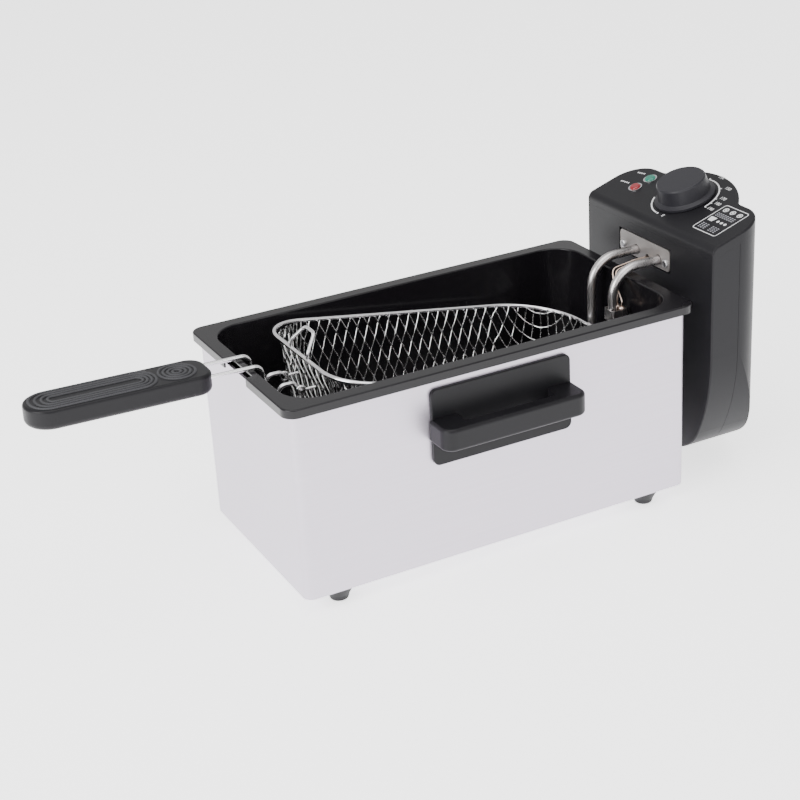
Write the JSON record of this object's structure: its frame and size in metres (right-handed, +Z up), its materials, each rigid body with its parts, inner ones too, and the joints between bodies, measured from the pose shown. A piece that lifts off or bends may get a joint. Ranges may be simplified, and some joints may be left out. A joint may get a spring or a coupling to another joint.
{
  "type": "deep fryer",
  "caption": "Countertop deep fryer with a lift-out oil pot, wire basket with folding handle and a lift-off control unit carrying the heating element.",
  "frame": {"origin": "on the table, under the middle of the whole object from the handle's tip to the cord gland", "axes": "+X from the housing to the control unit, so the basket handle points to -X; +Y to the left side seen from the basket handle's end looking at the control unit; +Z up"},
  "size_m": [0.5701, 0.216, 0.2292],
  "materials": {
    "brushed_housing": "brushed lengthwise",
    "zinc_sheet": "galvanised sheet",
    "screw_steel": "bright plated",
    "foot_rubber": "matt",
    "handle_plastic": "fine moulded grain",
    "black_enamel": "satin non-stick enamel",
    "basket_chrome": "bright wire",
    "case_plastic": "fine moulded grain",
    "knob_plastic": "satin",
    "button_red": "glossy",
    "element_steel": "heat-toned stainless",
    "bulb_copper": "plated copper",
    "ceramic_body": "ceramic and phenolic",
    "lens_green": "tinted lens",
    "lens_red": "tinted lens",
    "bezel_chrome": "glossy black ring"
  },
  "bodies": {
    "housing": {"housing_shell": "brushed_housing", "base_plate": "zinc_sheet", "base_screws": "screw_steel", "foot_front_right": "foot_rubber", "foot_front_left": "foot_rubber", "foot_rear_right": "foot_rubber", "foot_rear_left": "foot_rubber", "foot_screws": "screw_steel", "carry_handle_right": "handle_plastic", "carry_handle_left": "handle_plastic", "handle_backing_plates": "zinc_sheet", "carry_handle_screws": "screw_steel", "guide_rail": "zinc_sheet", "rail_screws": "screw_steel"},
    "pot": {"oil_pot": "black_enamel"},
    "control": {"control_panel": "case_plastic", "control_front_case": "case_plastic", "control_rear_case": "case_plastic", "case_screws": "screw_steel", "cord_gland": "case_plastic", "thermal_cutout": "ceramic_body", "terminal_block": "knob_plastic", "element_plate": "element_steel", "element_plate_screws": "screw_steel", "heating_element": "element_steel", "element_ferrules": "element_steel", "thermostat_bulb": "bulb_copper", "thermostat_capillary": "bulb_copper", "cutout_bulb": "bulb_copper", "cutout_capillary": "bulb_copper", "bulb_clip": "element_steel", "guide_hook": "zinc_sheet", "interlock_switch": "knob_plastic", "thermostat_body": "ceramic_body", "lamp_lens_green": "lens_green", "lamp_lens_red": "lens_red", "lamp_bezels": "bezel_chrome", "lamp_holders": "knob_plastic"},
    "basket": {"basket_mesh": "basket_chrome", "basket_rim_wire": "basket_chrome", "basket_base_wire": "basket_chrome", "basket_catch_wire": "basket_chrome", "basket_eyelets": "basket_chrome"},
    "handle": {"handle_wire_left": "basket_chrome", "handle_wire_right": "basket_chrome", "handle_grip_top": "handle_plastic", "handle_grip_bottom": "handle_plastic", "grip_screws": "screw_steel"},
    "knob": {"thermostat_knob": "knob_plastic", "thermostat_shaft": "element_steel"},
    "button": {"reset_button": "button_red"},
    "plunger": {"interlock_plunger": "knob_plastic"}
  },
  "joints": [
    {"name": "pot_lift", "type": "slide", "parent": "housing", "child": "pot", "axis": [0, 0, 1], "range_m": [0, 0.15]},
    {"name": "control_lift", "type": "slide", "parent": "pot", "child": "control", "axis": [0, 0, 1], "range_m": [0, 0.15]},
    {"name": "basket_lift", "type": "slide", "parent": "control", "child": "basket", "axis": [0, 0, 1], "range_m": [0, 0.16]},
    {"name": "handle_fold", "type": "hinge", "parent": "basket", "child": "handle", "pos_m": [-0.09208, 0, 0.13855], "axis": [0, 1, 0], "range_deg": [0, 65]},
    {"name": "knob_turn", "type": "hinge", "parent": "control", "child": "knob", "pos_m": [0.24795, 0, 0.20833], "axis": [-0.3047, 0, 0.9524], "range_deg": [0, 270]},
    {"name": "reset_press", "type": "slide", "parent": "control", "child": "button", "axis": [-1, 0, 0], "range_m": [0, 0.0015], "stiffness_N_per_m": 400},
    {"name": "interlock_press", "type": "slide", "parent": "control", "child": "plunger", "axis": [1, 0, 0], "range_m": [0, 0.002], "stiffness_N_per_m": 300}
  ]
}
